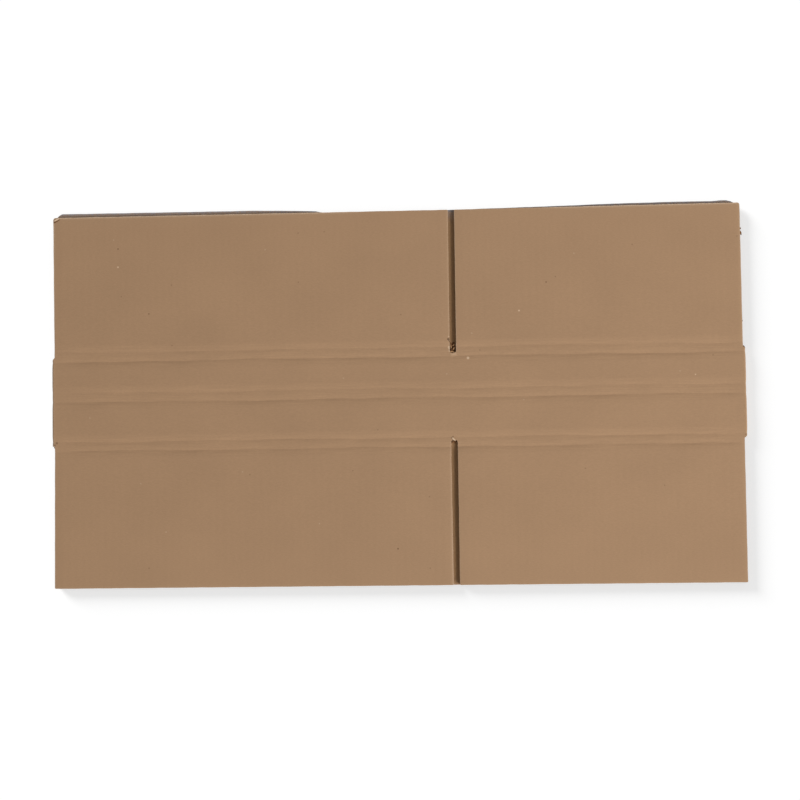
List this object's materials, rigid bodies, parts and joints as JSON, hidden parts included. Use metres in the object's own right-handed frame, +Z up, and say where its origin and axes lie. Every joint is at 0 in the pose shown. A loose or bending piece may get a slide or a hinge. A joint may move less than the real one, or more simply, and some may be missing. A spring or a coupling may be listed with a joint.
{
  "type": "flattened cardboard box",
  "caption": "Shipping carton of single-wall kraft board, glued into a tube and folded flat, with open slotted flaps hinged on pressed scores and an extra score across its low body.",
  "frame": {"origin": "centre of the flattened carton's footprint, on the surface that it lies on", "axes": "+X along the flattened length towards the short panel, +Y from the bottom flaps to the top flaps, +Z up out of the upper layer"},
  "size_m": [0.6, 0.3278, 0.0072],
  "materials": {
    "kraft_board": "matt brown kraft liner over corrugated board"
  },
  "bodies": {
    "folded_tube": {"folded_tube": "kraft_board"},
    "top_long_flap": {"top_long_flap": "kraft_board"},
    "top_short_flap": {"top_short_flap": "kraft_board"},
    "bottom_long_flap": {"bottom_long_flap": "kraft_board"},
    "bottom_short_flap": {"bottom_short_flap": "kraft_board"}
  },
  "joints": [
    {"name": "top_long_score", "type": "hinge", "parent": "folded_tube", "child": "top_long_flap", "pos_m": [-0.12525, 0.03705, 0.00685], "axis": [1, 0, 0], "range_deg": [0, 105]},
    {"name": "top_short_score", "type": "hinge", "parent": "folded_tube", "child": "top_short_flap", "pos_m": [0.17525, 0.03705, 0.00685], "axis": [1, 0, 0], "range_deg": [0, 105]},
    {"name": "bottom_long_score", "type": "hinge", "parent": "folded_tube", "child": "bottom_long_flap", "pos_m": [-0.12525, -0.04095, 0.00685], "axis": [-1, 0, 0], "range_deg": [0, 105]},
    {"name": "bottom_short_score", "type": "hinge", "parent": "folded_tube", "child": "bottom_short_flap", "pos_m": [0.17525, -0.04095, 0.00685], "axis": [-1, 0, 0], "range_deg": [0, 105]}
  ]
}
